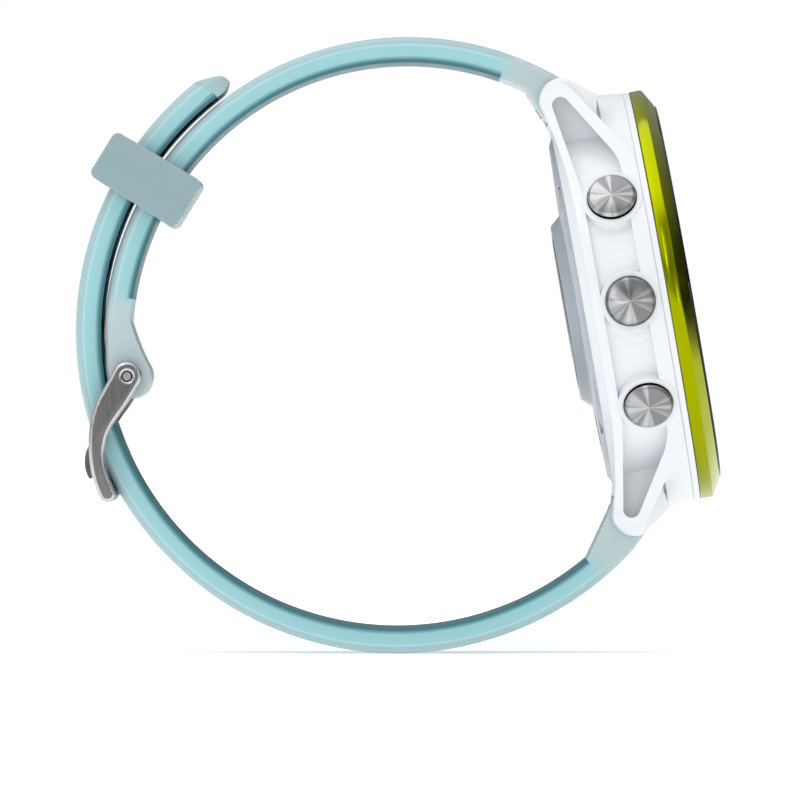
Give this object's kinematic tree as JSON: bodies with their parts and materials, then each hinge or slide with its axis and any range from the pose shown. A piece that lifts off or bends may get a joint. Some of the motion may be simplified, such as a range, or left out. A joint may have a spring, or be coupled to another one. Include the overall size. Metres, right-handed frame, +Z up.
{
  "type": "gps running watch",
  "caption": "Round sports watch with side push buttons on a two-layer rubber band, closed through a pin buckle and a loose keeper and standing on the band.",
  "frame": {"origin": "centre of the optical sensor window, the face that rests on the wrist", "axes": "+Z up as the watch stands on its band, +X from the wrist through the head, +Y across the band from the nine o'clock side to the three o'clock side; the dial's normal leans up by ten degrees from +X"},
  "size_m": [0.066, 0.0434, 0.0629],
  "materials": {
    "case_white": "fine satin, fibre-reinforced polymer",
    "case_back_grey": "satin",
    "sensor_glass": "dark polished window",
    "bezel_yellow_green": "anodised, gloss",
    "cover_glass_black": "polished, black behind",
    "button_steel": "circular brushed face, polished chamfer",
    "buckle_steel": "brushed with polished edges",
    "pin_steel": "turned",
    "band_clear_teal": "translucent silicone, matte",
    "band_turquoise": "opaque silicone, matte",
    "keeper_teal": "translucent silicone, matte",
    "board_green": "solder mask",
    "chip_black": "moulded",
    "battery_silver": "pouch foil",
    "motor_steel": "pressed can",
    "inner_black": "moulded",
    "antenna_copper": "foil",
    "display_dark": "gloss",
    "seal_black": "matte",
    "contact_gold": "plated",
    "screw_steel": "dark plated"
  },
  "bodies": {
    "watch": {"back_gasket": "seal_black", "battery": "battery_silver", "bezel": "bezel_yellow_green", "board_chips": "chip_black", "buckle_pin": "pin_steel", "button_switches": "motor_steel", "case_back": "case_back_grey", "case_back_screw_1": "screw_steel", "case_back_screw_2": "screw_steel", "case_back_screw_3": "screw_steel", "case_back_screw_4": "screw_steel", "case_middle": "case_white", "charge_pins": "contact_gold", "charge_socket": "inner_black", "cover_glass": "cover_glass_black", "display_gasket": "seal_black", "display_panel": "display_dark", "gnss_antenna": "antenna_copper", "inner_frame": "inner_black", "long_band_liner": "band_turquoise", "long_band_outer": "band_clear_teal", "main_board": "board_green", "seal_back": "seal_black", "seal_down": "seal_black", "seal_light": "seal_black", "seal_start": "seal_black", "seal_up": "seal_black", "sensor_board": "board_green", "sensor_optics": "display_dark", "sensor_window": "sensor_glass", "short_band_liner": "band_turquoise", "short_band_outer": "band_clear_teal", "speaker": "inner_black", "spring_bar_lower": "pin_steel", "spring_bar_upper": "pin_steel", "vibration_motor": "motor_steel"},
    "button_light": {"button_light": "button_steel", "clip_light": "pin_steel"},
    "button_up": {"button_up": "button_steel", "clip_up": "pin_steel"},
    "button_down": {"button_down": "button_steel", "clip_down": "pin_steel"},
    "button_start": {"button_start": "button_steel", "clip_start": "pin_steel"},
    "button_back": {"button_back": "button_steel", "clip_back": "pin_steel"},
    "keeper": {"keeper": "keeper_teal"},
    "buckle_frame": {"buckle_frame": "buckle_steel"},
    "buckle_tongue": {"buckle_tongue": "buckle_steel"},
    "quick_release_upper": {"quick_release_upper": "pin_steel"},
    "quick_release_lower": {"quick_release_lower": "pin_steel"}
  },
  "joints": [
    {"name": "press_light", "type": "slide", "parent": "watch", "child": "button_light", "axis": [0.0868, 0.866, -0.4924], "range_m": [0, 0.00045], "stiffness_N_per_m": 2000},
    {"name": "press_up", "type": "slide", "parent": "watch", "child": "button_up", "axis": [0, 1, 0], "range_m": [0, 0.00045], "stiffness_N_per_m": 2000},
    {"name": "press_down", "type": "slide", "parent": "watch", "child": "button_down", "axis": [-0.0868, 0.866, 0.4924], "range_m": [0, 0.00045], "stiffness_N_per_m": 2000},
    {"name": "press_start", "type": "slide", "parent": "watch", "child": "button_start", "axis": [0.0868, -0.866, -0.4924], "range_m": [0, 0.00045], "stiffness_N_per_m": 2000},
    {"name": "press_back", "type": "slide", "parent": "watch", "child": "button_back", "axis": [-0.0868, -0.866, 0.4924], "range_m": [0, 0.00045], "stiffness_N_per_m": 2000},
    {"name": "buckle_swing", "type": "hinge", "parent": "watch", "child": "buckle_frame", "pos_m": [-0.0448, 0, -0.0065], "axis": [0, 1, 0], "range_deg": [0, 3]},
    {"name": "tongue_lift", "type": "hinge", "parent": "buckle_frame", "child": "buckle_tongue", "pos_m": [-0.0448, 0, -0.0065], "axis": [0, 1, 0], "range_deg": [0, 3]},
    {"name": "keeper_slide", "type": "hinge", "parent": "watch", "child": "keeper", "pos_m": [-0.01615, 0, -0.00285], "axis": [0, 1, 0], "range_deg": [-20, 5]},
    {"name": "release_upper", "type": "slide", "parent": "watch", "child": "quick_release_upper", "axis": [0, -1, 0], "range_m": [0, 0.0012], "stiffness_N_per_m": 800},
    {"name": "release_lower", "type": "slide", "parent": "watch", "child": "quick_release_lower", "axis": [0, -1, 0], "range_m": [0, 0.0012], "stiffness_N_per_m": 800}
  ]
}
